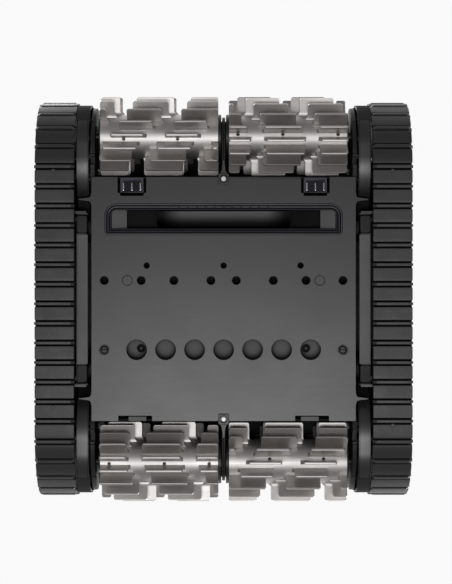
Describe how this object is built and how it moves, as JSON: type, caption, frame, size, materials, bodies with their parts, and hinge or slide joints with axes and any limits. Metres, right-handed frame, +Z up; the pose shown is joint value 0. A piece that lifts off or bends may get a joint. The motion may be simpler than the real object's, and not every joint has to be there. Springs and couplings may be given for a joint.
{
  "type": "tracked pool cleaning robot",
  "caption": "Cordless pool-cleaning robot on rubber tracks, with bladed brush rollers at both ends, a suction slot in its flat underside, and a hinged lid over a filter basket.",
  "frame": {"origin": "centre of the tracks' ground contact: the middle of the object's box, at its lowest height", "axes": "+Z up, -Y towards the front where the suction slot is, +X towards the robot's own left as it stands"},
  "size_m": [0.4474, 0.4854, 0.281],
  "materials": {
    "track_rubber": "matt black rubber",
    "black_plastic": "matt black moulding",
    "plate_plastic": "fine matt dark grey moulding",
    "brush_silver": "satin champagne silver",
    "steel": "turned stainless steel",
    "shell_plastic": "satin graphite",
    "smoked_window": "polished smoked black",
    "filter_white": "pale grey moulding",
    "accent": "satin champagne"
  },
  "bodies": {
    "hull": {"battery_pack": "black_plastic", "bottom_plate": "plate_plastic", "bracket_screw_front": "steel", "bracket_screw_rear": "steel", "carry_handle": "shell_plastic", "centre_bracket_front": "black_plastic", "centre_bracket_rear": "black_plastic", "chassis_tub": "black_plastic", "cup_screw_l": "steel", "cup_screw_r": "steel", "drive_motor_l": "steel", "drive_motor_r": "steel", "filter_basket": "filter_white", "gear_cover_bl": "black_plastic", "gear_cover_br": "black_plastic", "gear_cover_fl": "black_plastic", "gear_cover_fr": "black_plastic", "lid_hinge_pin": "steel", "outlet_grille": "accent", "plate_screw_l": "steel", "plate_screw_r": "steel", "suction_bezel": "black_plastic", "suction_throat": "black_plastic", "track_belt_l": "track_rubber", "track_belt_r": "track_rubber", "track_frame_l": "plate_plastic", "track_frame_r": "plate_plastic", "upper_shell": "shell_plastic", "wheel_axle_bl": "steel", "wheel_axle_br": "steel", "wheel_axle_fl": "steel", "wheel_axle_fr": "steel"},
    "lid": {"top_lid": "shell_plastic", "lid_window": "smoked_window"},
    "latch_l": {"cover_latch_l": "black_plastic"},
    "latch_r": {"cover_latch_r": "black_plastic"},
    "flap": {"inlet_flap": "black_plastic"},
    "impeller": {"impeller": "black_plastic"},
    "button": {"power_button": "accent"},
    "wheel_fl": {"track_wheel_fl": "black_plastic", "hub_cap_fl": "accent"},
    "brush_fl": {"brush_sleeve_fl": "brush_silver", "brush_core_fl": "black_plastic", "brush_pinion_fl": "filter_white"},
    "wheel_fr": {"track_wheel_fr": "black_plastic", "hub_cap_fr": "accent"},
    "brush_fr": {"brush_sleeve_fr": "brush_silver", "brush_core_fr": "black_plastic", "brush_pinion_fr": "filter_white"},
    "wheel_bl": {"track_wheel_bl": "black_plastic", "hub_cap_bl": "accent"},
    "brush_bl": {"brush_sleeve_bl": "brush_silver", "brush_core_bl": "black_plastic", "brush_pinion_bl": "filter_white"},
    "wheel_br": {"track_wheel_br": "black_plastic", "hub_cap_br": "accent"},
    "brush_br": {"brush_sleeve_br": "brush_silver", "brush_core_br": "black_plastic", "brush_pinion_br": "filter_white"}
  },
  "joints": [
    {"name": "wheel_spin_fl", "type": "hinge", "parent": "hull", "child": "wheel_fl", "pos_m": [0.19, -0.1516, 0.088], "axis": [1, 0, 0], "continuous": true},
    {"name": "wheel_spin_fr", "type": "hinge", "parent": "hull", "child": "wheel_fr", "pos_m": [-0.19, -0.1516, 0.088], "axis": [1, 0, 0], "continuous": true},
    {"name": "wheel_spin_bl", "type": "hinge", "parent": "hull", "child": "wheel_bl", "pos_m": [0.19, 0.1516, 0.088], "axis": [1, 0, 0], "continuous": true},
    {"name": "wheel_spin_br", "type": "hinge", "parent": "hull", "child": "wheel_br", "pos_m": [-0.19, 0.1516, 0.088], "axis": [1, 0, 0], "continuous": true},
    {"name": "brush_spin_fl", "type": "hinge", "parent": "hull", "child": "brush_fl", "pos_m": [0.077, -0.19502, 0.0488], "axis": [1, 0, 0], "continuous": true},
    {"name": "brush_spin_fr", "type": "hinge", "parent": "hull", "child": "brush_fr", "pos_m": [-0.077, -0.19502, 0.0488], "axis": [1, 0, 0], "continuous": true},
    {"name": "brush_spin_bl", "type": "hinge", "parent": "hull", "child": "brush_bl", "pos_m": [0.077, 0.19502, 0.0488], "axis": [1, 0, 0], "continuous": true},
    {"name": "brush_spin_br", "type": "hinge", "parent": "hull", "child": "brush_br", "pos_m": [-0.077, 0.19502, 0.0488], "axis": [1, 0, 0], "continuous": true},
    {"name": "lid_hinge", "type": "hinge", "parent": "hull", "child": "lid", "pos_m": [0, 0.068, 0.2448], "axis": [-1, 0, 0], "range_deg": [0, 100]},
    {"name": "latch_slide_l", "type": "slide", "parent": "hull", "child": "latch_l", "axis": [0, 1, 0], "range_m": [0, 0.0035], "stiffness_N_per_m": 200},
    {"name": "latch_slide_r", "type": "slide", "parent": "hull", "child": "latch_r", "axis": [0, 1, 0], "range_m": [0, 0.0035], "stiffness_N_per_m": 200},
    {"name": "flap_hinge", "type": "hinge", "parent": "hull", "child": "flap", "pos_m": [0, -0.0852, 0.0452], "axis": [-1, 0, 0], "range_deg": [0, 55]},
    {"name": "impeller_spin", "type": "hinge", "parent": "hull", "child": "impeller", "pos_m": [0, 0.193, 0.168], "axis": [0, 1, 0], "continuous": true},
    {"name": "button_press", "type": "slide", "parent": "hull", "child": "button", "axis": [0, 0, -1], "range_m": [0, 0.001], "stiffness_N_per_m": 300}
  ],
  "couplings": [
    {"joint": "wheel_spin_bl", "follows": "wheel_spin_fl", "ratio": 1},
    {"joint": "brush_spin_fl", "follows": "wheel_spin_fl", "ratio": -1.5},
    {"joint": "brush_spin_bl", "follows": "wheel_spin_fl", "ratio": -1.5},
    {"joint": "wheel_spin_br", "follows": "wheel_spin_fr", "ratio": 1},
    {"joint": "brush_spin_fr", "follows": "wheel_spin_fr", "ratio": -1.5},
    {"joint": "brush_spin_br", "follows": "wheel_spin_fr", "ratio": -1.5}
  ]
}
